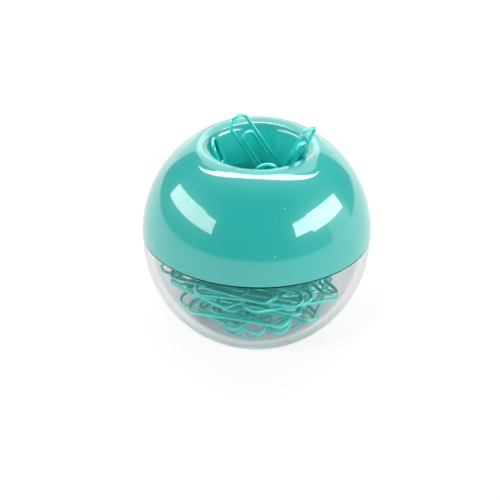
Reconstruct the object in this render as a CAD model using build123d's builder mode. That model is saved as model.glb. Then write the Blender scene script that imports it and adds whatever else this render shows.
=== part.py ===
"""Magnetic paper clip holder: a clear bowl of clips under a round cover with a magnetic funnel mouth.

Millimetres, +Z up, the flat base on z = 0 and centred on the Z axis, the viewer's side towards -Y.
"""
import math
import os
import random

import numpy as np
from build123d import *

# Cover: one moulding that runs from the seam, with a shadow groove round its lower edge, over the
# rolled lip into the funnel and the neck
ball_diameter = 60.0
seam_height = 27.8
groove_height = 0.5
groove_depth = 0.3
skirt_height = 0.2
cover_wall = 1.5
lip_roll_radius = 3.0
lip_circle_radius = 15.0
funnel_angle = 22.0
throat_radius = 9.0
neck_wall = 1.6
neck_length = 8.6

# Bowl: clear moulding with a flat base and a spigot that the cover drops over
edge_overhang = 0.3
spigot_wall = 0.8
spigot_height = 2.5
spigot_lead_in = 0.4
spigot_clearance = 0.15
bowl_centre_drop = 1.5
base_radius = 13.5
bowl_floor = 2.4
base_edge_round = 0.8

# Ring magnet round the neck and the cup that keeps it there
magnet_height = 6.0
magnet_width = 4.7
magnet_clearance = 0.2
magnet_chamfer = 0.4
seat_gap = 0.05
retainer_wall = 1.5
retainer_side = 4.0

# Paper clip of coated wire: the outer bend is one end, the single bend is the other end
clip_length = 28.0
clip_width = 6.1
wire_diameter = 0.9
wire_gap = 0.1
inner_bend_inset = 6.6
free_end_height = 10.0
wire_sides = 5
bend_steps = 4

# Clips in the mouth: where the single bend stands, as parts of the throat radius from the axis,
# its depth below the top of the throat in clip lengths, then lean, the heading it leans to, roll
# about its length and the heading in which it is moved until it meets the funnel, in degrees from +X
mouth_clip_poses = [
    (0.61, 0.47, 0.111, 33.2, -142.0, 264.0, 25.0),
    (0.31, 0.23, 0.102, 30.8, -58.0, 11.0, -41.0),
    (0.00, 0.36, 0.496, 28.1, -82.0, -1.0, -76.0),
    (-0.42, 0.02, 0.553, 21.7, 166.0, 6.0, 167.0),
]

# Heap of loose clips in the bowl: each one takes the lowest of some throws and is then shaken down.
# The spread is a part of the bowl's radius, and tilt, bank and turn are degrees
heap_count = 48
heap_seed = 12
heap_tries = 30
heap_shakes = 120
heap_spread = 0.8
heap_tilt = 45.0
heap_bank = 60.0
heap_shift = 1.0
heap_turn = 6.0
heap_gap = 0.2
heap_grid = 0.2
wire_spacing = 0.45

# Sizes that follow from the ones above
ball_radius = ball_diameter / 2
cover_centre = seam_height + groove_height + skirt_height
cover_inner = ball_radius - cover_wall
slope = math.radians(funnel_angle)
lip_centre_height = cover_centre + math.sqrt((ball_radius - lip_roll_radius) ** 2 - lip_circle_radius**2)
lip_lean = math.atan2(lip_centre_height - cover_centre, lip_circle_radius)
neck_radius = throat_radius + neck_wall

spigot_radius = cover_inner - spigot_clearance
bowl_inner = spigot_radius - spigot_wall
bowl_radius = ball_radius - edge_overhang
bowl_centre = cover_centre - bowl_centre_drop
bowl_wall = bowl_radius - bowl_inner
side_offset = (bowl_radius**2 - base_radius**2 - bowl_centre**2) / (2 * (bowl_radius - base_radius))
side_radius = bowl_radius - side_offset

wire_radius = wire_diameter / 2
outer_bend = (clip_width - wire_diameter) / 2
inner_bend = outer_bend - wire_diameter - wire_gap
single_bend = (outer_bend + inner_bend) / 2


def polar(radius, angle, centre_radius, centre_height):
    """Point of a circle in the half section, with the angle in radians from the outward direction."""
    return (centre_radius + radius * math.cos(angle), centre_height + radius * math.sin(angle))


def lip_arc(roll_radius):
    """Start, crest and end of the arc that rolls the lip from the ball over into the funnel."""
    angles = (lip_lean, math.pi / 2, math.pi - slope)
    return [polar(roll_radius, angle, lip_circle_radius, lip_centre_height) for angle in angles]


def ball_arc(radius):
    """Start, middle and end of the ball's arc, from its widest circle up to the lip."""
    return [polar(radius, part * lip_lean, 0, cover_centre) for part in (0, 0.5, 1)]


def down_slope(point, radius):
    """Point where the funnel's slope through a given point reaches a radius."""
    return (radius, point[1] - (point[0] - radius) / math.tan(slope))


outer_lip = lip_arc(lip_roll_radius)
inner_lip = lip_arc(lip_roll_radius - cover_wall)
throat_top = down_slope(outer_lip[-1], throat_radius)
neck_top = down_slope(inner_lip[-1], neck_radius)
neck_end_height = throat_top[1] - neck_length
magnet_bore = neck_radius + magnet_clearance
magnet_top = down_slope(inner_lip[-1], magnet_bore)[1] - seat_gap
magnet_bottom = magnet_top - magnet_height
magnet_radius = magnet_bore + magnet_width
retainer_bottom = magnet_bottom - retainer_wall


def bowl_arc(radius, low_height):
    """Arc of the bowl's round side, from a low height up to its widest circle."""
    low_angle = math.asin((low_height - bowl_centre) / radius)
    return [polar(radius, part * low_angle, side_offset, bowl_centre) for part in (1, 0.5, 0)]


with BuildPart() as bowl:
    bowl_outer_arc = bowl_arc(side_radius, 0)
    bowl_inner_arc = bowl_arc(side_radius - bowl_wall, bowl_floor)
    spigot_top = seam_height + spigot_height
    with BuildSketch(Plane.XZ):
        with BuildLine():
            Line((0, 0), bowl_outer_arc[0])
            ThreePointArc(*bowl_outer_arc)
            Polyline(
                bowl_outer_arc[-1],
                (bowl_radius, seam_height),
                (spigot_radius, seam_height),
                (spigot_radius, spigot_top - spigot_lead_in),
                (spigot_radius - spigot_lead_in, spigot_top),
                (bowl_inner, spigot_top),
                bowl_inner_arc[-1],
            )
            ThreePointArc(*bowl_inner_arc)
            Polyline(bowl_inner_arc[0], (0, bowl_floor), (0, 0))
        make_face()
    revolve(axis=Axis.Z)
    fillet(bowl.edges().group_by(Axis.Z)[0], base_edge_round)

with BuildPart() as cover:
    inner_ball = ball_arc(cover_inner)
    groove_radius = ball_radius - groove_depth
    skirt_bottom = seam_height + groove_height
    with BuildSketch(Plane.XZ):
        with BuildLine():
            Polyline(
                (groove_radius, seam_height),
                (groove_radius, skirt_bottom),
                (ball_radius, skirt_bottom),
                (ball_radius, cover_centre),
            )
            ThreePointArc(*ball_arc(ball_radius))
            ThreePointArc(*outer_lip)
            Polyline(
                outer_lip[-1],
                throat_top,
                (throat_radius, neck_end_height),
                (neck_radius, neck_end_height),
                neck_top,
                inner_lip[-1],
            )
            ThreePointArc(*inner_lip)
            ThreePointArc(*inner_ball)
            Polyline(inner_ball[0], (cover_inner, seam_height), (groove_radius, seam_height))
        make_face()
    revolve(axis=Axis.Z)

with BuildPart() as magnet:
    with BuildSketch(Plane.XY.offset(magnet_bottom)):
        Circle(magnet_radius)
        Circle(magnet_bore, mode=Mode.SUBTRACT)
    extrude(amount=magnet_height)
    chamfer(magnet.edges().filter_by(GeomType.CIRCLE).sort_by(SortBy.RADIUS)[-2:], magnet_chamfer)

with BuildPart() as retainer:
    retainer_bore = neck_radius + seat_gap
    retainer_inner = magnet_radius + magnet_clearance
    retainer_radius = retainer_inner + retainer_wall
    with BuildSketch(Plane.XZ):
        with BuildLine():
            Polyline(
                (retainer_bore, retainer_bottom),
                (retainer_radius, retainer_bottom),
                (retainer_radius, magnet_bottom + retainer_side),
                (retainer_inner, magnet_bottom + retainer_side),
                (retainer_inner, magnet_bottom),
                (retainer_bore, magnet_bottom),
                close=True,
            )
        make_face()
    revolve(axis=Axis.Z)


def bend(radius, along, across, start):
    """Centre-line points of a half-round bend about a centre, turned clockwise from a start angle."""
    turns = [start - math.pi * step / bend_steps for step in range(bend_steps + 1)]
    return [(along + radius * math.cos(turn), across + radius * math.sin(turn)) for turn in turns]


def clip_line():
    """Centre line of a flat paper clip, lengthwise from the tip of its single bend and across."""
    top = clip_length - wire_diameter
    quarter = math.pi / 2
    return [
        (free_end_height, outer_bend),
        *bend(outer_bend, top - outer_bend, 0, quarter),
        *bend(single_bend, single_bend, inner_bend - single_bend, -quarter),
        *bend(inner_bend, top - inner_bend_inset - inner_bend, 0, quarter),
        (free_end_height, -inner_bend),
    ]


def clip_axes(lean, heading, roll):
    """Directions along, across and out of a clip that leans from +Z to a heading and is rolled."""
    lean, heading, roll = (math.radians(angle) for angle in (lean, heading, roll))
    flat = np.array([math.cos(heading), math.sin(heading), 0])
    along = math.sin(lean) * flat + np.array([0, 0, math.cos(lean)])
    side = np.array([-math.sin(heading), math.cos(heading), 0])
    across = math.cos(roll) * side + math.sin(roll) * np.cross(along, side)
    return np.array([along, across, np.cross(along, across)])


def spaced_line():
    """Closely spaced points of the clip's centre line, as rows of along, across and out."""
    points = []
    line = [Vector(*point) for point in clip_line()]
    for start, end in zip(line, line[1:]):
        steps = math.ceil((end - start).length / wire_spacing)
        points += [start + (end - start) * (step / steps) for step in range(steps)]
    return np.array([(point.X, point.Y, 0) for point in points + line[-1:]])


wire_line = spaced_line()
pull_line = np.vstack([wire_line + (pull, 0, 0) for pull in np.arange(0, clip_length, outer_bend)])


def funnel_room(points):
    """Least room between wire round the given centre points and the wall of the lip, funnel and throat."""
    radius = np.hypot(points[:, 0], points[:, 1])
    height = points[:, 2]
    to_lip = np.hypot(radius - lip_circle_radius, height - lip_centre_height) - lip_roll_radius
    slope_radius = throat_radius + (height - throat_top[1]) * math.tan(slope)
    to_slope = (slope_radius - radius) * math.cos(slope)
    to_throat = throat_radius - radius
    room = np.where(height > outer_lip[-1][1], to_lip, np.where(height > throat_top[1], to_slope, to_throat))
    return room[height > neck_end_height].min() - wire_radius


def clip_room(points, other):
    """Least room between wires round two sets of centre points."""
    squares = (points**2).sum(axis=1)[:, None] + (other**2).sum(axis=1) - 2 * points @ other.T
    return math.sqrt(max(squares.min(), 0)) - wire_diameter


def seated_foot(foot, axes, heading, seated):
    """Foot moved along a heading, and raised where need be, until the clip and its way out have room."""
    direction = np.array([math.cos(math.radians(heading)), math.sin(math.radians(heading)), 0])

    def clear(place):
        way_out = place + pull_line @ axes
        if funnel_room(way_out) < seat_gap:
            return False
        return all(clip_room(way_out, other) >= heap_gap for other in seated)

    shifts = np.arange(throat_radius, -throat_radius, -seat_gap)
    rises = np.arange(0, clip_length, outer_bend)
    places = (foot + shift * direction + (0, 0, rise) for rise in rises for shift in shifts)
    return next(place for place in places if clear(place))


def mouth_poses():
    """Foot and axes of each clip that stands in the mouth, seated one after the other."""
    poses = []
    seated = []
    for across, back, depth, lean, lean_heading, roll, seat_heading in mouth_clip_poses:
        foot = np.array([across * throat_radius, back * throat_radius, throat_top[1] - depth * clip_length])
        axes = clip_axes(lean, lean_heading, roll)
        foot = seated_foot(foot, axes, seat_heading, seated)
        seated.append(foot + wire_line @ axes)
        poses.append((foot, axes))
    return poses


class Heap:
    """Least height for the next wire over each cell of the bowl, raised as clips are added."""

    def __init__(self):
        self.cells = math.ceil(bowl_inner / heap_grid)
        self.reach = wire_diameter + heap_gap
        spots = np.arange(-self.cells, self.cells + 1) * heap_grid
        across, back = np.meshgrid(spots, spots, indexing="ij")
        outward = np.maximum(np.hypot(across, back) - side_offset, 0)
        inside = (side_radius - bowl_wall - wire_radius - heap_gap) ** 2 - outward**2
        round_side = bowl_centre - np.sqrt(np.maximum(inside, 0))
        lowest = np.maximum(round_side, bowl_floor + wire_radius + heap_gap)
        self.heights = np.where(inside > 0, lowest, math.inf)

    def cell(self, points):
        return np.rint(points[:, :2] / heap_grid).astype(int) + self.cells

    def rest_height(self, points):
        """Height to which a clip at these points drops, or no height if it is outside the bowl."""
        cells = self.cell(points)
        if cells.min() < 0 or cells.max() > 2 * self.cells:
            return math.inf
        return (self.heights[cells[:, 0], cells[:, 1]] - points[:, 2]).max()

    def add(self, points):
        """Raise the cells that a clip's wire now covers."""
        span = math.ceil(self.reach / heap_grid)
        steps = range(-span, span + 1)
        for step in [(across, back) for across in steps for back in steps]:
            cells = np.clip(self.cell(points) + step, 0, 2 * self.cells)
            offset = (cells - self.cells) * heap_grid - points[:, :2]
            over = self.reach**2 - (offset**2).sum(axis=1)
            near = over > 0
            tops = points[near, 2] + np.sqrt(over[near])
            np.maximum.at(self.heights, (cells[near, 0], cells[near, 1]), tops)


def thrown_pose(chance):
    """Random place and angles of a clip that is thrown into the bowl."""
    distance = heap_spread * bowl_inner * math.sqrt(chance.random())
    bearing = chance.uniform(0, 2 * math.pi)
    tilt = chance.uniform(-heap_tilt, heap_tilt)
    bank = 180 * chance.randrange(2) + chance.uniform(-heap_bank, heap_bank)
    return (distance * math.cos(bearing), distance * math.sin(bearing), tilt, chance.uniform(0, 360), bank)


def shaken_pose(chance, pose):
    """Pose moved and turned a little."""
    steps = (heap_shift, heap_shift, heap_turn, heap_turn, heap_turn)
    return tuple(value + chance.gauss(0, step) for value, step in zip(pose, steps))


def heap_poses():
    """Foot and axes of each clip of the heap, thrown in and shaken down one after the other."""
    chance = random.Random(heap_seed)
    heap = Heap()
    centre = wire_line.mean(axis=0)
    poses = []

    def clip_at(pose, height=0):
        across, back, tilt, heading, bank = pose
        axes = clip_axes(90 + tilt, heading, bank)
        return np.array([across, back, height]) - centre @ axes, axes

    def drop_height(pose):
        foot, axes = clip_at(pose)
        return heap.rest_height(foot + wire_line @ axes)

    for _ in range(heap_count):
        best = min((thrown_pose(chance) for _ in range(heap_tries)), key=drop_height)
        for _ in range(heap_shakes):
            best = min(best, shaken_pose(chance, best), key=drop_height)
        foot, axes = clip_at(best, drop_height(best))
        heap.add(foot + wire_line @ axes)
        poses.append((foot, axes))
    return poses


with BuildPart() as clip_blank:
    with BuildLine():
        clip_path = Polyline(*clip_line())
    with BuildSketch(Plane(origin=clip_path @ 0, z_dir=clip_path % 0)):
        RegularPolygon(wire_radius, wire_sides)
    sweep(path=clip_path, transition=Transition.RIGHT)


def placed_clip(pose):
    """One paper clip of its own, placed by its foot and axes."""
    foot, axes = pose
    spot = Plane(origin=tuple(foot), x_dir=tuple(axes[0]), z_dir=tuple(axes[2]))
    with BuildPart() as clip:
        with Locations(spot.location):
            add(clip_blank.part)
    return clip.part


pieces = {
    "bowl": bowl.part,
    "dome_cover": cover.part,
    "magnet_ring": magnet.part,
    "magnet_retainer": retainer.part,
}
for number, pose in enumerate(mouth_poses(), start=1):
    pieces[f"mouth_clip_{number}"] = placed_clip(pose)
for number, pose in enumerate(heap_poses(), start=1):
    pieces[f"bowl_clip_{number:02d}"] = placed_clip(pose)

os.makedirs("parts", exist_ok=True)
for name, piece in pieces.items():
    piece.label = name
    export_step(piece, f"parts/{name}.step")
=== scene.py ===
"""Magnetic paper clip holder: its looks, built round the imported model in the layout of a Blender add-on."""

import math

import bmesh
import bpy
import numpy as np
from bpy.props import FloatProperty, FloatVectorProperty, IntProperty, PointerProperty
from mathutils import Matrix, Vector


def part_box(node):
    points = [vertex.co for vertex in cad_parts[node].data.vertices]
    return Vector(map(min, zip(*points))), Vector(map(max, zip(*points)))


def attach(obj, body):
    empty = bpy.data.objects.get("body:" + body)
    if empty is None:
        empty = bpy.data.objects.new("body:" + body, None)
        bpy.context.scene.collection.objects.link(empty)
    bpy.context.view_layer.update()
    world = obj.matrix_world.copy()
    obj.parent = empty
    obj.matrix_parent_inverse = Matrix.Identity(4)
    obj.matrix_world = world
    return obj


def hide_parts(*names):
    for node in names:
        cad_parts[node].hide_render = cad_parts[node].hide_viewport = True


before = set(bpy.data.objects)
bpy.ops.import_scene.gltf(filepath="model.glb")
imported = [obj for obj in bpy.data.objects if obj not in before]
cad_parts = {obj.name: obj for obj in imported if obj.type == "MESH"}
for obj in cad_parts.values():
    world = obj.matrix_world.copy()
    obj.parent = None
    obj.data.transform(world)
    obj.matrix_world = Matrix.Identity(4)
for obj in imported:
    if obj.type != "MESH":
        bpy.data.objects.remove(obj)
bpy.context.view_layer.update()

bl_info = {
    "name": "Paper Clip Holder",
    "version": (1, 0, 0),
    "blender": (4, 5, 0),
    "location": "View3D > Sidebar > Clip Holder",
    "description": "Builds a ball-shaped magnetic paper clip holder round its packed solids",
    "category": "Add Mesh",
}

mm = 0.001
cover_low, cover_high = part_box("dome_cover")
bowl_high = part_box("bowl")[1]
magnet_low, magnet_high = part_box("magnet_ring")
retainer_low, retainer_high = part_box("magnet_retainer")
mouth_clips = sorted(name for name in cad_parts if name.startswith("mouth_clip"))
heap_clips = sorted(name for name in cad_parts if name.startswith("bowl_clip"))

# Finishes: depth of the fine waviness, dust on the cover, and the clear bowl's tints where it is seen on the
# slant, in the thick base between two heights, painted darker there as shadow, and in the light that falls
# through it
fine_bump = 0.01 * mm
dust_tone = (0.55, 0.85, 0.82)
edge_tint = (0.45, 0.50, 0.52)
base_tint_and_shadow = (0.36, 0.45, 0.49)
base_tint_and_shadow_top, base_tint_and_shadow_low = 9.0 * mm, 1.0 * mm
clear_shadow = (0.985, 0.99, 0.99)

# Table: radii of its rings, how white it is by itself, where its whiteness fades out of reflections, and the
# painted shadow round the base, in reflections and seen through the bowl
table_rings = (0, 0.3, 2.0)
white_share = 0.85
mirror_full, mirror_end = 0.08, 0.9
contact_start, contact_end, contact_shade = 12 * mm, 42 * mm, 0.45

# Upright lamps in metres round the holder: front and back end on the table, then lower and upper edge
left_strips = {
    "left_strip": ((-0.429, -0.224), (-0.716, 0.334), (0.168, 0.324)),
    "left_strip_end": ((-0.367, -0.345), (-0.429, -0.224), (0.168, 0.306)),
}
right_strips = {
    "right_strip": ((0.436, -0.254), (0.735, 0.203), (0.158, 0.334)),
    "right_strip_end": ((0.341, -0.399), (0.436, -0.254), (0.18, 0.318)),
}
boards = {"right_board": ((0.53, -0.11), (0.80, 0.30), (0.0, 0.158))}

# Tent: a disc overhead and behind, with a bright crescent round its front between two radii and two angles
tent_centre = (0.03, 0.55, 0.55)
tent_width = 1.16
edge_radii = (0.58, 0.65)
edge_turns = (-165, -16)
edge_steps = 48
edge_tip = 2 * mm

# Lamps that give shape without showing in reflections: place, size and the point they face
front_fill = ((0, -0.95, 0.36), (0.9, 0.5), (0, 0, 0.03))
key = ((-0.12, -0.42, 0.72), (0.09, 0.09), (0, 0, 0.04))

# White wall behind, which faces the holder and shows in reflections: place and size
white_wall = ((0, 0.8, 0.3), (1.16, 0.6))

# Picture: its width in pixels, and how far right of and above its middle the ball's centre stands
picture_width = 500
ball_right, ball_rise = 6.4, 20.2


def length(name, description, default):
    """A length property in metres, with its default given in metres."""
    return FloatProperty(name=name, description=description, default=default, min=0, precision=5,
                         subtype="DISTANCE", unit="LENGTH")


def angle(name, description, degrees):
    """An angle property, with its default given in degrees."""
    return FloatProperty(name=name, description=description, default=math.radians(degrees),
                         subtype="ANGLE", unit="ROTATION")


def watts(name, description, default):
    """A property for a lamp's power in watts."""
    return FloatProperty(name=name, description=description, default=default, min=0,
                         subtype="POWER", unit="POWER")


def strength(name, description, default):
    """A property for the brightness of a glow, where 1 is white."""
    return FloatProperty(name=name, description=description, default=default, min=0)


def count(name, description, default, least):
    """A property for a whole number."""
    return IntProperty(name=name, description=description, default=default, min=least)


def colour(name, description, default):
    """A colour property."""
    return FloatVectorProperty(name=name, description=description, default=default, size=3,
                               min=0, max=1, subtype="COLOR")


class CoverSizes(bpy.types.PropertyGroup):
    """Sizes of the turned cover with its lip, funnel and neck."""
    ball_radius: length("Ball radius", "Outside radius of the ball", cover_high.x)
    seam_height: length("Seam height", "Height of the cover's lower edge", cover_low.z)
    crest_height: length("Crest height", "Height of the lip's crest", cover_high.z)
    groove_height: length("Groove height", "Height of the shadow groove round the lower edge", 0.5 * mm)
    groove_depth: length("Groove depth", "Depth of the shadow groove round the lower edge", 0.3 * mm)
    skirt_height: length("Skirt height", "Straight part above the groove", 0.2 * mm)
    wall: length("Wall", "Wall of the ball and the lip", 1.5 * mm)
    lip_roll: length("Lip roll", "Outside radius of the rolled lip", 3.0 * mm)
    throat_radius: length("Throat radius", "Clear radius of the throat", 9.0 * mm)
    neck_wall: length("Neck wall", "Wall of the neck below the throat", 1.6 * mm)
    neck_length: length("Neck length", "Straight length of the throat", 8.6 * mm)
    funnel_angle: angle("Funnel angle", "Slope of the funnel from the axis", 22)
    edge_round: length("Edge round", "Rounding of the moulded edges", 0.25 * mm)
    groove_round: length("Groove round", "Rounding of the groove's edges", 0.08 * mm)


class BowlSizes(bpy.types.PropertyGroup):
    """Sizes of the clear bowl."""
    radius: length("Radius", "Outside radius of the bowl", bowl_high.x)
    top_height: length("Top height", "Height of the spigot's top", bowl_high.z)
    base_radius: length("Base radius", "Radius where the round side would meet the base", 13.5 * mm)
    base_round: length("Base round", "Rounding at the edge of the base", 0.8 * mm)
    widest_height: length("Widest height", "Height of the bowl's widest circle", 27.0 * mm)
    floor: length("Floor", "Thickness of the floor", 2.4 * mm)
    wall: length("Wall", "Wall of the round side", 2.15 * mm)
    spigot_radius: length("Spigot radius", "Outside radius of the spigot", 28.35 * mm)
    lead_in: length("Lead-in", "Chamfer at the top of the spigot", 0.4 * mm)
    edge_round: length("Edge round", "Rounding of the moulded edges", 0.15 * mm)


class MagnetSizes(bpy.types.PropertyGroup):
    """Sizes of the ring magnet and the cup that carries it."""
    bore: length("Magnet bore", "Radius of the magnet's bore", 10.8 * mm)
    chamfer: length("Magnet chamfer", "Ground edge of the magnet", 0.4 * mm)
    cup_bore: length("Cup bore", "Radius of the cup's bore", 10.65 * mm)
    cup_wall: length("Cup wall", "Wall of the cup", 1.5 * mm)
    edge_round: length("Edge round", "Rounding of the cup's edges", 0.2 * mm)


class ClipSizes(bpy.types.PropertyGroup):
    """Sizes of a paper clip of coated wire."""
    clip_length: length("Length", "Overall length", 28.0 * mm)
    clip_width: length("Width", "Overall width", 6.1 * mm)
    wire: length("Wire", "Diameter of the coated wire", 0.9 * mm)
    wire_gap: length("Wire gap", "Gap between the nested bends", 0.1 * mm)
    inner_inset: length("Inner inset", "From the outer bend's tip to the inner bend's tip", 6.6 * mm)
    free_end: length("Free ends", "Where the wire's two ends lie along the clip", 10.0 * mm)
    coating: length("Coating", "Thickness of the coating on the steel", 0.08 * mm)
    end_round: length("End round", "Rounding of the coating at the cut ends", 0.05 * mm)
    wire_sides: count("Wire sides", "Sides of the drawn wire", 14, least=6)
    bend_steps: count("Bend steps", "Steps of each drawn bend", 16, least=4)
    solid_steps: count("Solid's bend steps", "Steps of each bend in the packed solid", 4, least=2)


class HolderColours(bpy.types.PropertyGroup):
    """Colours of the holder's finishes."""
    cover: colour("Cover", "Glossy turquoise moulding", (0.008, 0.385, 0.347))
    clear: colour("Bowl", "Clear moulding", (0.88, 0.89, 0.895))
    coating: colour("Clips", "Turquoise coating of the wire", (0.022, 0.78, 0.70))
    steel: colour("Wire ends", "Bare steel at the cut ends", (0.52, 0.53, 0.54))
    ferrite: colour("Magnet", "Sintered ferrite", (0.045, 0.045, 0.05))
    cup: colour("Cup", "Light grey moulding", (0.72, 0.73, 0.73))
    floor: colour("Floor", "White table", (0.92, 0.92, 0.92))


class StudioSettings(bpy.types.PropertyGroup):
    """Camera and light of the stage."""
    elevation: angle("Elevation", "Camera's height above the horizon", 29.2)
    roll: angle("Roll", "Camera's roll about its view", 0.8)
    distance: length("Distance", "Camera's distance from the ball's centre", 0.8)
    field: length("Field", "Width of the picture at the ball's centre", 131.1 * mm)
    left_glow: strength("Left glow", "Brightness of the left strip", 5.0)
    right_glow: strength("Right glow", "Brightness of the right strip", 7.4)
    board_glow: strength("Board glow", "Brightness of the pale board at the right", 0.8)
    edge_glow: strength("Edge glow", "Brightness of the tent's bright edge", 11.0)
    top_power: watts("Top power", "Power of the tent overhead", 5.4)
    key_power: watts("Key power", "Power of the key lamp", 2.5)
    fill_power: watts("Fill power", "Power of the front fill", 0.75)
    back_power: watts("Back power", "Power of the white wall behind", 2.3)
    surround: strength("Surround", "Brightness of the dim surround", 0.12)


def arc(centre, radius, start, end, steps):
    """Points of an arc in the half section, from one angle to another, measured from outward."""
    turns = [start + (end - start) * step / steps for step in range(steps + 1)]
    return [(centre[0] + radius * math.cos(turn), centre[1] + radius * math.sin(turn)) for turn in turns]


def eased(before, corner, after, radius, steps=4):
    """Points of a small round in place of a corner between two straight or nearly straight runs."""
    corner = Vector(corner)
    back = (Vector(before) - corner).normalized()
    ahead = (Vector(after) - corner).normalized()
    half = back.angle(ahead) / 2
    middle = corner + (back + ahead).normalized() * (radius / math.sin(half))
    first = corner + back * (radius / math.tan(half)) - middle
    last = corner + ahead * (radius / math.tan(half)) - middle
    turn = first.angle_signed(last)
    return [tuple(middle + Matrix.Rotation(-turn * step / steps, 2) @ first) for step in range(steps + 1)]


def eased_profile(points, rounds):
    """Closed or open profile whose corners named in rounds, by index and radius, are rounded."""
    profile = []
    for index, point in enumerate(points):
        if index in rounds:
            after = points[(index + 1) % len(points)]
            profile += eased(points[index - 1], point, after, rounds[index])
        else:
            profile.append(point)
    return profile


def turned(name, profile, closed, segments=192):
    """Mesh turned round the Z axis from a profile of radius and height; on the axis a ring is one point."""
    shape = bmesh.new()
    turns = [math.tau * step / segments for step in range(segments)]
    spokes = [(math.cos(turn), math.sin(turn)) for turn in turns]
    rings = []
    for radius, height in profile:
        if radius > 0:
            rings.append([shape.verts.new((radius * x, radius * y, height)) for x, y in spokes])
        else:
            rings.append([shape.verts.new((0, 0, height))] * segments)
    for near, far in zip(rings, rings[1:] + rings[:1] if closed else rings[1:]):
        for index in range(segments):
            after = (index + 1) % segments
            corners = (near[index], near[after], far[after], far[index])
            shape.faces.new(list(dict.fromkeys(corners)))
    bmesh.ops.recalc_face_normals(shape, faces=shape.faces)
    mesh = bpy.data.meshes.new(name)
    shape.to_mesh(mesh)
    shape.free()
    mesh.shade_smooth()
    mesh.set_sharp_from_angle(angle=math.radians(32))
    return mesh


def placed_piece(name, mesh, body, nodes, place=Matrix.Identity(4)):
    """Object of a mesh that rides on a body and stands for its solids."""
    piece = bpy.data.objects.new(name, mesh)
    bpy.context.scene.collection.objects.link(piece)
    piece.matrix_world = place
    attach(piece, body)
    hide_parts(*nodes)
    return piece


class Finish:
    """A node material in the making: one Principled shader and the texture nodes that feed it."""

    def __init__(self, name):
        self.material = bpy.data.materials.new(name)
        self.material.use_nodes = True
        self.tree = self.material.node_tree
        self.shader = self.tree.nodes["Principled BSDF"]
        self.output = self.tree.nodes["Material Output"]
        self.coords = self.tree.nodes.new("ShaderNodeTexCoord").outputs["Object"]

    def set(self, **values):
        """Feed the shader's own sockets, with underscores for the spaces in their names."""
        for name, value in values.items():
            self.feed(self.shader.inputs[name.replace("_", " ")], value)

    def node(self, kind, settings=None, **inputs):
        """New node with its settings and input values; an input given as a socket is linked."""
        made = self.tree.nodes.new(kind)
        for name, value in (settings or {}).items():
            setattr(made, name, value)
        for name, value in inputs.items():
            self.feed(made.inputs[name.replace("_", " ")], value)
        return made

    def feed(self, socket, value):
        """Link a socket or set its value."""
        if isinstance(value, bpy.types.NodeSocket):
            self.tree.links.new(value, socket)
        else:
            socket.default_value = value

    def noise(self, scale, detail=3.0, roughness=0.5, stretch=None):
        """Noise of the piece's own coordinates, in waves to the metre, stretched along its axes if asked."""
        coords = self.coords
        if stretch:
            coords = self.node("ShaderNodeMapping", Vector=coords, Scale=stretch).outputs["Vector"]
        return self.node("ShaderNodeTexNoise", Vector=coords, Scale=scale, Detail=detail,
                         Roughness=roughness).outputs["Fac"]

    def tones(self, value, stops):
        """Colour ramp through stops of position and colour."""
        made = self.node("ShaderNodeValToRGB", Fac=value)
        elements = made.color_ramp.elements
        while len(elements) < len(stops):
            elements.new(0.5)
        for element, (position, tone) in zip(elements, stops):
            element.position = position
            element.color = (*tone, 1)
        return made.outputs["Color"]

    def ramp(self, value, stops):
        """Grey ramp through stops of position and level."""
        return self.tones(value, [(position, (level, level, level)) for position, level in stops])

    def mottled(self, value, tone, low, high):
        """Colour that goes from a darker to a lighter shade of a tone as a noise rises."""
        return self.tones(value, ((0.3, shade(tone, low)), (0.7, shade(tone, high))))

    def spread(self, value, low, high):
        """Value from 0 to 1 mapped to a range."""
        return self.node("ShaderNodeMapRange", Value=value, To_Min=low, To_Max=high).outputs["Result"]

    def fade(self, value, start, end, low=0.0, high=1.0, kind="LINEAR"):
        """Rise from low to high while a value goes from start to end."""
        return self.node("ShaderNodeMapRange", {"interpolation_type": kind}, Value=value, From_Min=start,
                         From_Max=end, To_Min=low, To_Max=high).outputs["Result"]

    def worked(self, operation, first, second):
        """Result of an operation on two values."""
        made = self.node("ShaderNodeMath", {"operation": operation})
        self.feed(made.inputs[0], first)
        self.feed(made.inputs[1], second)
        return made.outputs["Value"]

    def times(self, first, second):
        """Product of two values."""
        return self.worked("MULTIPLY", first, second)

    def most(self, first, second):
        """Greater of two values."""
        return self.worked("MAXIMUM", first, second)

    def blended(self, factor, first, second, kind="MIX"):
        """Mix of two colours, whose sockets go by number: other kinds of the node share their names."""
        made = self.node("ShaderNodeMix", {"data_type": "RGBA", "blend_type": kind})
        self.feed(made.inputs["Factor"], factor)
        self.feed(made.inputs[6], first)
        self.feed(made.inputs[7], second)
        return made.outputs[2]

    def bump(self, height, depth):
        """Bump of a depth in metres."""
        return self.node("ShaderNodeBump", Height=height, Distance=depth).outputs["Normal"]

    def swapped(self, factor, other):
        """Show another shader in place of the Principled one where the factor is 1."""
        mixed = self.node("ShaderNodeMixShader", Fac=factor)
        self.feed(mixed.inputs[1], self.shader.outputs["BSDF"])
        self.feed(mixed.inputs[2], other)
        self.feed(self.output.inputs["Surface"], mixed.outputs["Shader"])


def shade(tone, factor):
    """Colour made lighter or darker by a factor."""
    return tuple(min(1.0, part * factor) for part in tone)


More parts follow.
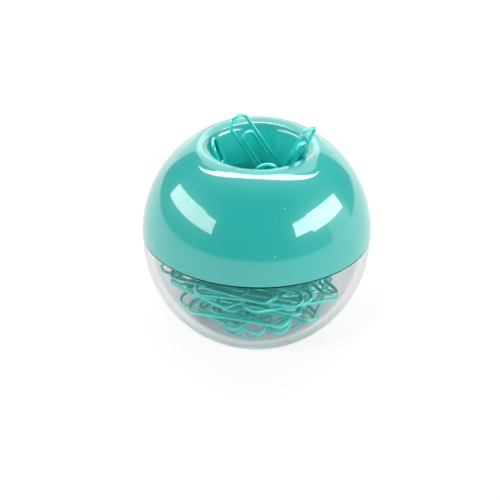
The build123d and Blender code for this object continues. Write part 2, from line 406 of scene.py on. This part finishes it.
def cover_finish(tone):
    """Glossy turquoise moulding with faint flow tones, dust specks and fine scuffs."""
    made = Finish("turquoise_gloss_moulding")
    base = made.mottled(made.noise(38, detail=2), tone, 0.95, 1.05)
    dots = made.node("ShaderNodeTexVoronoi", Vector=made.coords, Scale=420)
    dot = made.ramp(dots.outputs["Distance"], ((0.05, 1.0), (0.11, 0.0)))
    chance = made.node("ShaderNodeSeparateColor", Color=dots.outputs["Color"]).outputs["Red"]
    speck = made.times(dot, made.ramp(chance, ((0.90, 0.0), (0.93, 0.55))))
    scuff = made.noise(160, detail=6, roughness=0.7, stretch=(1, 1, 0.25))
    made.set(Base_Color=made.blended(speck, base, (*dust_tone, 1)), Roughness=made.spread(scuff, 0.30, 0.42),
             Normal=made.bump(made.noise(120, detail=1), fine_bump), IOR=1.45,
             Coat_Weight=1.0, Coat_IOR=1.7, Coat_Roughness=0.03)
    return made.material


def groove_painted_shade_finish(tone):
    """Turquoise moulding down in the groove above the seam, painted near black for the shade in it, matt and
    a little dusty.
    """
    made = Finish("turquoise_groove_painted_shade")
    dust = made.noise(800, detail=4)
    # Painted shade: the tone is cut to a twentieth or less of the cover's, for the shadow down in the groove.
    made.set(Base_Color=made.mottled(dust, tone, 0.02, 0.05), Roughness=made.spread(dust, 0.5, 0.7),
             Normal=made.bump(dust, fine_bump), Specular_IOR_Level=0.0)
    return made.material


def throat_painted_light_finish(tone):
    """Turquoise moulding left matt by the core of the funnel, painted lighter, with fine drag marks along it.
    """
    made = Finish("turquoise_matt_throat_painted_light")
    drag = made.noise(700, detail=4, stretch=(1, 1, 0.1))
    # Painted light: the tone is raised above the cover's for the light inside the funnel.
    made.set(Base_Color=made.mottled(drag, tone, 1.08, 1.2), Roughness=made.spread(drag, 0.45, 0.6),
             Normal=made.bump(drag, fine_bump), Specular_IOR_Level=0.15)
    return made.material


def clear_finish(tone):
    """Clear polished moulding, greyer at its slanting edges and thick base, the base partly painted shadow;
    lamps shine through it.
    """
    made = Finish("clear_moulding")
    tint = made.mottled(made.noise(45, detail=2), tone, 0.985, 1.0)
    height = made.node("ShaderNodeSeparateXYZ", Vector=made.coords).outputs["Z"]
    # The thick base's tint is darkened further as painted shadow of the table under it.
    thick = made.fade(height, base_tint_and_shadow_top, base_tint_and_shadow_low)
    tint = made.blended(thick, tint, (*base_tint_and_shadow, 1))
    slant = made.node("ShaderNodeLayerWeight", Blend=0.3).outputs["Facing"]
    scuff = made.noise(220, detail=6, roughness=0.7, stretch=(1, 1, 0.3))
    made.set(Base_Color=made.blended(made.times(slant, 0.85), tint, (*edge_tint, 1)),
             Roughness=made.ramp(scuff, ((0.55, 0.0), (0.8, 0.06))),
             Normal=made.bump(made.noise(90, detail=1), fine_bump), IOR=1.22, Transmission_Weight=1.0)
    path = made.node("ShaderNodeLightPath")
    through = made.most(path.outputs["Is Shadow Ray"], path.outputs["Is Diffuse Ray"])
    bare = made.node("ShaderNodeBsdfTransparent", Color=(*clear_shadow, 1))
    made.swapped(through, bare.outputs["BSDF"])
    return made.material


def coating_finish(tone):
    """Smooth turquoise lacquer on wire, a slightly different tone on each clip, with faint drawing marks."""
    made = Finish("turquoise_wire_coating")
    chance = made.node("ShaderNodeObjectInfo").outputs["Random"]
    tones = made.tones(chance, ((0.0, shade(tone, 0.86)), (1.0, shade(tone, 1.14))))
    patch = made.mottled(made.noise(300, detail=3), (1.0, 1.0, 1.0), 0.88, 1.0)
    made.set(Base_Color=made.blended(1.0, tones, patch, "MULTIPLY"),
             Roughness=made.spread(made.noise(900, detail=4), 0.16, 0.30),
             Normal=made.bump(made.noise(1500, detail=3), 1.2 * fine_bump),
             Metallic=0.25, IOR=1.5, Coat_Weight=1.0, Coat_IOR=1.8, Coat_Roughness=0.04)
    return made.material


def steel_finish(tone):
    """Cut steel at the ends of the wire."""
    made = Finish("cut_steel")
    grain = made.noise(4000, detail=5, stretch=(1, 4, 1))
    made.set(Base_Color=made.mottled(grain, tone, 0.8, 1.1), Roughness=made.spread(grain, 0.3, 0.5),
             Normal=made.bump(grain, fine_bump), Metallic=1.0)
    return made.material


def ferrite_finish(tone):
    """Dark sintered ferrite with a fine grain and small pits."""
    made = Finish("sintered_ferrite")
    grain = made.noise(1400, detail=6, roughness=0.7)
    made.set(Base_Color=made.mottled(grain, tone, 0.7, 1.4), Roughness=made.spread(grain, 0.5, 0.75),
             Normal=made.bump(grain, 3 * fine_bump))
    return made.material


def cup_finish(tone):
    """Light grey moulding with a fine eroded texture."""
    made = Finish("light_grey_moulding")
    grain = made.noise(1100, detail=5, roughness=0.65)
    made.set(Base_Color=made.mottled(made.noise(60, detail=2), tone, 0.95, 1.03),
             Roughness=made.spread(grain, 0.4, 0.6), Normal=made.bump(grain, 2 * fine_bump))
    return made.material


def floor_finish(tone):
    """White table with a faint paper tooth, white to the eye and in reflections, with painted shadow round
    the base.
    """
    made = Finish("white_table")
    tooth = made.noise(900, detail=4)
    made.set(Base_Color=made.mottled(tooth, tone, 0.985, 1.0), Normal=made.bump(tooth, 2 * fine_bump),
             Roughness=0.9, Specular_IOR_Level=0.1)
    path = made.node("ShaderNodeLightPath")
    away = made.node("ShaderNodeVectorMath", {"operation": "LENGTH"}, Vector=made.coords).outputs["Value"]
    near = made.fade(away, mirror_end, mirror_full, kind="SMOOTHSTEP")
    # Painted shadow: near the base the glow seen in reflections and through the bowl is dimmed.
    painted_contact_shadow = made.fade(away, contact_start, contact_end, contact_shade, kind="SMOOTHSTEP")
    mirrored = made.times(made.times(path.outputs["Is Glossy Ray"], near), painted_contact_shadow)
    seen_through = made.times(path.outputs["Is Transmission Ray"], painted_contact_shadow)
    seen = made.most(made.most(path.outputs["Is Camera Ray"], mirrored), seen_through)
    glow = made.node("ShaderNodeEmission", Color=(1, 1, 1, 1), Strength=1.0)
    made.swapped(made.times(seen, white_share), glow.outputs["Emission"])
    return made.material


def lip_circle(sizes):
    """Radius and height of the circle that the rolled lip is turned about."""
    centre = sizes.seam_height + sizes.groove_height + sizes.skirt_height
    height = sizes.crest_height - sizes.lip_roll
    return math.sqrt((sizes.ball_radius - sizes.lip_roll) ** 2 - (height - centre) ** 2), height


def cover_profile(sizes):
    """Closed half section of the cover, from the seam over the lip down the funnel and back inside."""
    groove_top = sizes.seam_height + sizes.groove_height
    groove_radius = sizes.ball_radius - sizes.groove_depth
    centre = groove_top + sizes.skirt_height
    lip_radius, lip_height = lip_circle(sizes)
    lean = math.atan2(lip_height - centre, lip_radius)
    funnel = math.pi - sizes.funnel_angle
    inner_roll = sizes.lip_roll - sizes.wall
    inner_ball = sizes.ball_radius - sizes.wall
    neck_radius = sizes.throat_radius + sizes.neck_wall
    throat_round = 4 * sizes.edge_round

    def down_slope(point, radius):
        return (radius, point[1] - (point[0] - radius) / math.tan(sizes.funnel_angle))

    outer = arc((0, centre), sizes.ball_radius, 0, lean, steps=48)
    outer += arc((lip_radius, lip_height), sizes.lip_roll, lean, funnel, steps=28)[1:]
    inner = arc((lip_radius, lip_height), inner_roll, funnel, lean, steps=20)
    inner += arc((0, centre), inner_ball, lean, 0, steps=40)[1:]
    throat = down_slope(outer[-1], sizes.throat_radius)
    neck_top = down_slope(inner[0], neck_radius)
    neck_end = throat[1] - sizes.neck_length
    edge = [(inner_ball, sizes.seam_height), (groove_radius, sizes.seam_height), (groove_radius, groove_top),
            (sizes.ball_radius, groove_top)]
    neck = [throat, (sizes.throat_radius, neck_end), (neck_radius, neck_end), neck_top]
    points = [*edge, *outer, *neck, *inner]
    first = len(edge) + len(outer)
    rounds = {index: sizes.groove_round for index in range(len(edge))}
    rounds |= {first: throat_round}
    rounds |= {index: sizes.edge_round for index in (first + 1, first + 2, first + 3)}
    return eased_profile(points, rounds)


def cover_slope(sizes):
    """Radius at which the funnel's straight slope meets the rolled lip."""
    return lip_circle(sizes)[0] - sizes.lip_roll * math.cos(sizes.funnel_angle)


def bowl_profile(sizes, seam_height):
    """Open half section of the bowl, from the middle of its base out, over the spigot and in to its floor."""
    offset = sizes.radius**2 - sizes.base_radius**2 - sizes.widest_height**2
    offset /= 2 * (sizes.radius - sizes.base_radius)
    side = sizes.radius - offset
    inside = side - sizes.wall
    inner_radius = offset + inside
    rise = math.asin((sizes.base_round - sizes.widest_height) / (side - sizes.base_round))
    round_centre = (offset + (side - sizes.base_round) * math.cos(rise), sizes.base_round)
    base = arc(round_centre, sizes.base_round, -math.pi / 2, rise, steps=6)
    outer = arc((offset, sizes.widest_height), side, rise, 0, steps=48)[1:]
    low = math.asin((sizes.floor - sizes.widest_height) / inside)
    inner = arc((offset, sizes.widest_height), inside, 0, low, steps=44)
    top = sizes.top_height
    shoulder = [(sizes.radius, seam_height), (sizes.spigot_radius, seam_height),
                (sizes.spigot_radius, top - sizes.lead_in), (sizes.spigot_radius - sizes.lead_in, top),
                (inner_radius, top)]
    points = [(0, 0), *base, *outer, *shoulder, *inner, (0, sizes.floor)]
    first = 1 + len(base) + len(outer)
    return eased_profile(points, {first + step: sizes.edge_round for step in range(len(shoulder))})


def clip_line(sizes, steps):
    """Centre line of a clip, lengthwise from its single bend's tip and across, with steps to each bend."""
    outer = (sizes.clip_width - sizes.wire) / 2
    inner = outer - sizes.wire - sizes.wire_gap
    single = (outer + inner) / 2
    top = sizes.clip_length - sizes.wire
    quarter = math.pi / 2
    return [
        (sizes.free_end, outer),
        *arc((top - outer, 0), outer, quarter, -quarter, steps),
        *arc((single, inner - single), single, -quarter, -3 * quarter, steps),
        *arc((top - sizes.inner_inset - inner, 0), inner, quarter, -quarter, steps),
        (sizes.free_end, -inner),
    ]


def clip_mesh(sizes):
    """Round wire bent into a clip, its coating rounded at the cut ends and bare steel inside."""
    line = [Vector((along, across, 0)) for along, across in clip_line(sizes, sizes.bend_steps)]
    out = Vector((0, 0, 1))
    radius = sizes.wire / 2
    sides = sizes.wire_sides
    shape = bmesh.new()

    def ring(point, heading, size):
        side = out.cross(heading)
        turns = [math.tau * step / sides for step in range(sides)]
        spokes = [math.cos(turn) * side + math.sin(turn) * out for turn in turns]
        return [shape.verts.new(point + size * spoke) for spoke in spokes]

    def end_rings(point, heading, ahead):
        rounded = arc((radius - sizes.end_round, 0), sizes.end_round, 0, math.pi / 2, steps=3)[1:]
        steps = rounded + [(radius - sizes.coating, sizes.end_round)]
        return [ring(point + heading * (ahead * past), heading, size) for size, past in steps]

    headings = [(after - before).normalized() for before, after in zip(line, line[1:])]
    turns = [headings[0]] + [(a + b).normalized() for a, b in zip(headings, headings[1:])] + [headings[-1]]
    rings = [ring(point, turn, radius) for point, turn in zip(line, turns)]
    rings = end_rings(line[0], headings[0], -1)[::-1] + rings + end_rings(line[-1], headings[-1], 1)
    for near, far in zip(rings, rings[1:]):
        for index in range(sides):
            after = (index + 1) % sides
            shape.faces.new((near[index], near[after], far[after], far[index]))
    for cap in (rings[0], rings[-1]):
        shape.faces.new(cap).material_index = 1
    bmesh.ops.recalc_face_normals(shape, faces=shape.faces)
    mesh = bpy.data.meshes.new("bent_wire_clip")
    shape.to_mesh(mesh)
    shape.free()
    mesh.shade_smooth()
    mesh.set_sharp_from_angle(angle=math.radians(40))
    return mesh


def clip_place(node, sizes):
    """Place of a clip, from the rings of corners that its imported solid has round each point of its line."""
    corners = np.array([vertex.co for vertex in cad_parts[node].data.vertices])
    corners = np.unique(corners.round(7), axis=0)
    line = np.array([(along, across, 0) for along, across in clip_line(sizes, sizes.solid_steps)])
    from_line = line - line.mean(axis=0)
    from_corners = corners - corners.mean(axis=0)
    line_axes = np.linalg.svd(from_line)[2]
    corner_axes = np.linalg.svd(from_corners, full_matrices=False)[2]
    best = None
    for signs in ((1, 1), (1, -1), (-1, 1), (-1, -1)):
        turn = np.diag((*signs, 1.0)) @ line_axes
        rotation = corner_axes.T @ turn
        rotation = corner_axes.T @ np.diag((1, 1, np.linalg.det(rotation))) @ turn
        placed = from_line @ rotation.T
        apart = np.linalg.norm(from_corners[:, None] - placed[None], axis=2)
        if best is None or apart.min(axis=1).max() < best[0]:
            best = (apart.min(axis=1).max(), apart.argmin(axis=1))
    if best[0] > sizes.wire:
        raise RuntimeError(f"the solid {node} isn't a clip of these sizes")
    middles = np.array([from_corners[best[1] == index].mean(axis=0) for index in range(len(line))])
    left, _, right = np.linalg.svd(middles.T @ from_line)
    rotation = left @ np.diag((1, 1, np.linalg.det(left @ right))) @ right
    origin = corners.mean(axis=0) - rotation @ line.mean(axis=0)
    return Matrix.Translation(origin.tolist()) @ Matrix(rotation.tolist()).to_4x4()


class HOLDER_OT_cover(bpy.types.Operator):
    """Turn the cover with its rolled lip, funnel and neck"""
    bl_idname = "holder.cover"
    bl_label = "Cover"

    def execute(self, context):
        holder = context.scene.clip_holder
        mesh = turned("cover", cover_profile(holder.cover), closed=True)
        groove_top = holder.cover.seam_height + holder.cover.groove_height + holder.cover.groove_round
        slope_top = cover_slope(holder.cover)
        for finish in (cover_finish, throat_painted_light_finish, groove_painted_shade_finish):
            mesh.materials.append(finish(holder.colours.cover))
        # The funnel's faces take the throat finish with its painted light, and the faces in the groove its
        # painted shade.
        for face in mesh.polygons:
            if face.center.xy.length < slope_top:
                face.material_index = 1
            elif face.center.z < groove_top:
                face.material_index = 2
        placed_piece("cover", mesh, "cover_body", ["dome_cover"])
        return {"FINISHED"}


class HOLDER_OT_bowl(bpy.types.Operator):
    """Turn the clear bowl with its flat base, shoulder and spigot"""
    bl_idname = "holder.bowl"
    bl_label = "Bowl"

    def execute(self, context):
        holder = context.scene.clip_holder
        mesh = turned("clear_bowl", bowl_profile(holder.bowl, holder.cover.seam_height), closed=False)
        mesh.materials.append(clear_finish(holder.colours.clear))
        placed_piece("clear_bowl", mesh, "bowl_body", ["bowl"])
        return {"FINISHED"}


class HOLDER_OT_magnet(bpy.types.Operator):
    """Turn the ring magnet and the cup that carries it"""
    bl_idname = "holder.magnet"
    bl_label = "Magnet and cup"

    def execute(self, context):
        holder = context.scene.clip_holder
        sizes = holder.magnet
        outside = magnet_high.x
        ring = [(sizes.bore, magnet_low.z), (outside - sizes.chamfer, magnet_low.z),
                (outside, magnet_low.z + sizes.chamfer), (outside, magnet_high.z - sizes.chamfer),
                (outside - sizes.chamfer, magnet_high.z), (sizes.bore, magnet_high.z)]
        ring = eased_profile(ring, {index: sizes.edge_round / 2 for index in range(len(ring))})
        mesh = turned("ring_magnet", ring, closed=True, segments=128)
        mesh.materials.append(ferrite_finish(holder.colours.ferrite))
        placed_piece("ring_magnet", mesh, "cover_body", ["magnet_ring"])
        edge = retainer_high.x
        inside = edge - sizes.cup_wall
        floor = retainer_low.z + sizes.cup_wall
        cup = [(sizes.cup_bore, retainer_low.z), (edge, retainer_low.z), (edge, retainer_high.z),
               (inside, retainer_high.z), (inside, floor), (sizes.cup_bore, floor)]
        cup = eased_profile(cup, {index: sizes.edge_round for index in range(len(cup))})
        mesh = turned("magnet_cup", cup, closed=True, segments=128)
        mesh.materials.append(cup_finish(holder.colours.cup))
        placed_piece("magnet_cup", mesh, "cover_body", ["magnet_retainer"])
        return {"FINISHED"}


class HOLDER_OT_clips(bpy.types.Operator):
    """Bend the clips that stand in the mouth and the ones in the bowl, each where its solid lies"""
    bl_idname = "holder.clips"
    bl_label = "Paper clips"

    def execute(self, context):
        holder = context.scene.clip_holder
        mesh = clip_mesh(holder.clip)
        mesh.materials.append(coating_finish(holder.colours.coating))
        mesh.materials.append(steel_finish(holder.colours.steel))
        for node in mouth_clips + heap_clips:
            body = node + "_body" if node in mouth_clips else "bowl_body"
            place = clip_place(node, holder.clip)
            placed_piece("wire_" + node, mesh, body, [node], place)
        return {"FINISHED"}


class HOLDER_OT_stage(bpy.types.Operator):
    """Set the white table, the soft lights and the camera"""
    bl_idname = "holder.stage"
    bl_label = "Stage"

    def execute(self, context):
        holder = context.scene.clip_holder
        scene = context.scene
        scene.view_settings.view_transform = "Standard"
        table = turned("table", [(radius, 0) for radius in table_rings], closed=False, segments=96)
        table.materials.append(floor_finish(holder.colours.floor))
        floor = bpy.data.objects.new("table", table)
        scene.collection.objects.link(floor)
        studio = holder.studio
        for strips, glow in ((left_strips, studio.left_glow), (right_strips, studio.right_glow),
                             (boards, studio.board_glow)):
            for name, (front, back, heights) in strips.items():
                self.strip(scene, name, front, back, heights, glow)
        tent = self.panel(scene, "tent_top", tent_centre, (tent_width, tent_width), studio.top_power)
        tent.data.shape = "DISK"
        self.edge(scene, "tent_edge", studio.edge_glow)
        for name, (place, size, aim), power in (("front_fill", front_fill, studio.fill_power),
                                                ("key", key, studio.key_power)):
            heading = Vector(aim) - Vector(place)
            lamp = self.panel(scene, name, place, size, power, heading.to_track_quat("-Z", "Y"))
            lamp.visible_glossy = False
        self.panel(scene, "white_wall", *white_wall, studio.back_power,
                   Matrix.Rotation(-math.pi / 2, 3, "X").to_quaternion())
        world = bpy.data.worlds.new("dim_surround")
        world.use_nodes = True
        back = world.node_tree.nodes["Background"]
        back.inputs["Color"].default_value = (1, 1, 1, 1)
        back.inputs["Strength"].default_value = studio.surround
        scene.world = world
        self.camera(scene, studio, holder.cover)
        return {"FINISHED"}

    def panel(self, scene, name, place, size, power, turn=None):
        """Area lamp that shines down, or along the given rotation."""
        light = bpy.data.lights.new(name, "AREA")
        light.shape = "RECTANGLE"
        light.size, light.size_y = size
        light.energy = power
        lamp = bpy.data.objects.new(name, light)
        lamp.location = place
        if turn is not None:
            lamp.rotation_mode = "QUATERNION"
            lamp.rotation_quaternion = turn
        lamp.visible_camera = False
        scene.collection.objects.link(lamp)
        return lamp

    def edge(self, scene, name, glow):
        """Flat glowing crescent round the front of the tent, seen in reflections alone."""
        shape = bmesh.new()
        inner, outer = edge_radii
        start, end = edge_turns
        rows = []
        for step in range(edge_steps + 1):
            share = step / edge_steps
            turn = math.radians(start + (end - start) * share)
            taper = outer - (outer - inner) * math.sin(math.pi * share) - edge_tip
            out = Vector((math.cos(turn), math.sin(turn), 0))
            rows.append([shape.verts.new(Vector(tent_centre) + radius * out) for radius in (taper, outer)])
        for near, far in zip(rows, rows[1:]):
            shape.faces.new((*near, *far[::-1]))
        mesh = bpy.data.meshes.new(name)
        shape.to_mesh(mesh)
        shape.free()
        made = Finish("glowing_edge")
        shine = made.node("ShaderNodeEmission", Color=(1, 1, 1, 1), Strength=glow)
        made.feed(made.output.inputs["Surface"], shine.outputs["Emission"])
        mesh.materials.append(made.material)
        crescent = bpy.data.objects.new(name, mesh)
        scene.collection.objects.link(crescent)
        crescent.visible_camera = False
        crescent.visible_diffuse = False

    def strip(self, scene, name, front, back, heights, glow):
        """Upright lamp of even glow between two points of the table and two heights, facing the holder."""
        low, high = heights
        up = Vector((0, 0, 1))
        ends = Vector((*front, 0)), Vector((*back, 0))
        middle = (ends[0] + ends[1]) / 2 + up * ((low + high) / 2)
        along = (ends[1] - ends[0]).normalized()
        if up.cross(along).dot(middle) > 0:
            along = -along
        turn = Matrix((along, up, along.cross(up))).transposed().to_quaternion()
        size = ((ends[1] - ends[0]).length, high - low)
        self.panel(scene, name, middle, size, glow * math.pi * size[0] * size[1], turn)

    def camera(self, scene, studio, cover):
        """Camera at the photograph's angle, aimed so that the ball's centre stands where it is there."""
        data = bpy.data.cameras.new("camera")
        data.sensor_width = 36.0
        data.lens = data.sensor_width * studio.distance / studio.field
        camera = bpy.data.objects.new("camera", data)
        scene.collection.objects.link(camera)
        scene.camera = camera
        rise = studio.elevation
        back = Vector((0, -math.cos(rise), math.sin(rise)))
        up = Vector((0, math.sin(rise), math.cos(rise)))
        pixel = studio.field / picture_width
        centre = Vector((0, 0, cover.seam_height + cover.groove_height + cover.skirt_height))
        aim = centre - Vector((ball_right * pixel, 0, 0)) - up * (ball_rise * pixel)
        camera.location = aim + back * studio.distance
        look = (-back).to_track_quat("-Z", "Y").to_matrix() @ Matrix.Rotation(studio.roll, 3, "Z")
        camera.rotation_euler = look.to_euler()
        data.clip_start, data.clip_end = 0.01, 20


class HolderSettings(bpy.types.PropertyGroup):
    """Everything that a user would change."""
    cover: PointerProperty(type=CoverSizes)
    bowl: PointerProperty(type=BowlSizes)
    magnet: PointerProperty(type=MagnetSizes)
    clip: PointerProperty(type=ClipSizes)
    colours: PointerProperty(type=HolderColours)
    studio: PointerProperty(type=StudioSettings)


class HOLDER_PT_panel(bpy.types.Panel):
    """Sizes, colours and builders of the paper clip holder"""
    bl_idname = "HOLDER_PT_panel"
    bl_label = "Paper Clip Holder"
    bl_space_type = "VIEW_3D"
    bl_region_type = "UI"
    bl_category = "Clip Holder"

    def draw(self, context):
        holder = context.scene.clip_holder
        for group in (holder.cover, holder.bowl, holder.magnet, holder.clip, holder.colours, holder.studio):
            box = self.layout.box()
            for name in group.__annotations__:
                box.prop(group, name)
        for operator in operators:
            self.layout.operator(operator.bl_idname)


operators = (HOLDER_OT_cover, HOLDER_OT_bowl, HOLDER_OT_magnet, HOLDER_OT_clips, HOLDER_OT_stage)
classes = (CoverSizes, BowlSizes, MagnetSizes, ClipSizes, HolderColours, StudioSettings, HolderSettings,
           *operators, HOLDER_PT_panel)


def register():
    for item in classes:
        bpy.utils.register_class(item)
    bpy.types.Scene.clip_holder = PointerProperty(type=HolderSettings)


def unregister():
    del bpy.types.Scene.clip_holder
    for item in reversed(classes):
        bpy.utils.unregister_class(item)


def main():
    """Build every piece and the stage."""
    register()
    bpy.ops.holder.cover()
    bpy.ops.holder.bowl()
    bpy.ops.holder.magnet()
    bpy.ops.holder.clips()
    bpy.ops.holder.stage()


if __name__ == "__main__":
    main()
